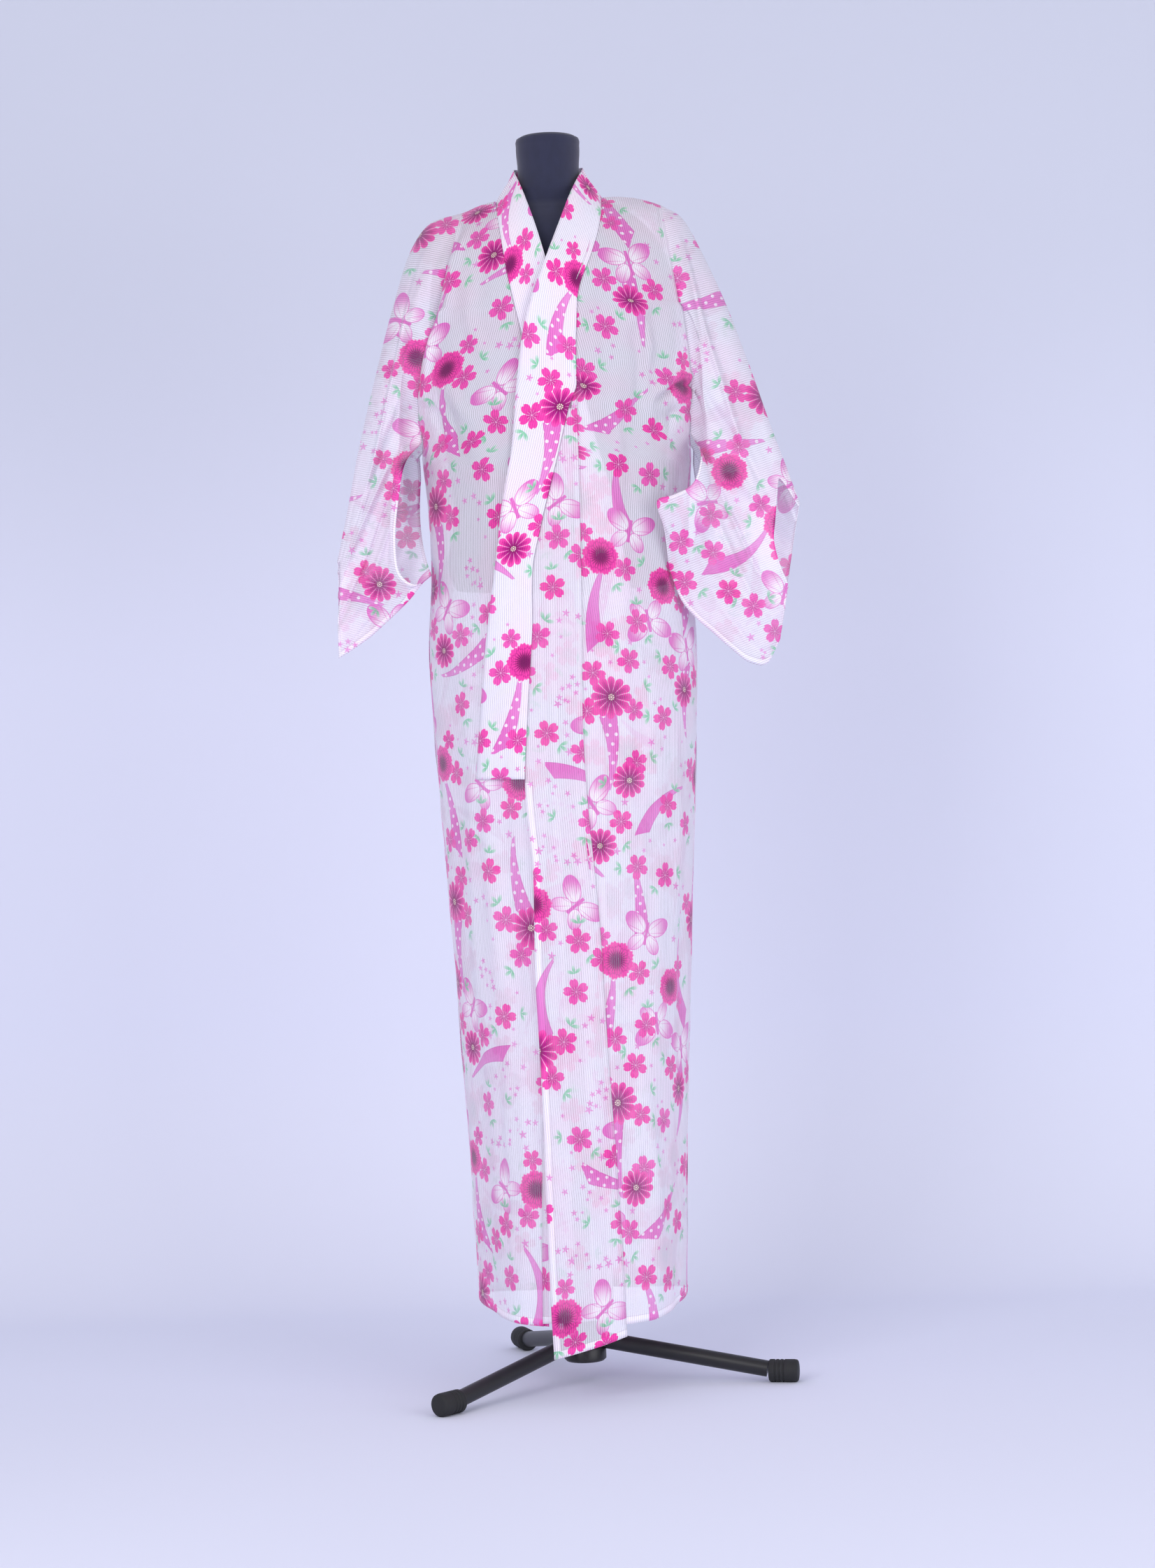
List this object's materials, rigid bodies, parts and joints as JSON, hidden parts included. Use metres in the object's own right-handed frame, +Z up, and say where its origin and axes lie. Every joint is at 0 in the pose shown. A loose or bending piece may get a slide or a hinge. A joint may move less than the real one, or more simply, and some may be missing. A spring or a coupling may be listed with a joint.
{
  "type": "cotton yukata robe on a dress form",
  "caption": "Thin printed cotton yukata, hung open-waisted over a black limbless dress form on a pole with a tripod foot",
  "frame": {"origin": "middle of the bottom of the part's box, on the floor", "axes": "+Z up, the robe's front faces -Y, the wearer's left is +X"},
  "size_m": [0.6646, 0.5342, 1.78],
  "materials": {
    "cloth": "thin white cotton with a fine rib, printed with pink flowers, ribbons and bows",
    "collar_cloth": "the same printed cotton, folded to a thicker band",
    "form_torso": "black stretch jersey over a hard shell",
    "stand": "satin black steel tube",
    "foot": "matt black rubber cap"
  },
  "bodies": {
    "root": {"body_left": "cloth", "body_right": "cloth", "overlap_left": "cloth", "overlap_right": "cloth", "sleeve_left": "cloth", "sleeve_right": "cloth", "collar": "collar_cloth", "form_torso": "form_torso", "pole": "stand", "hub": "stand", "leg_1": "stand", "leg_2": "stand", "leg_3": "stand", "foot_1": "foot", "foot_2": "foot", "foot_3": "foot"}
  },
  "joints": []
}
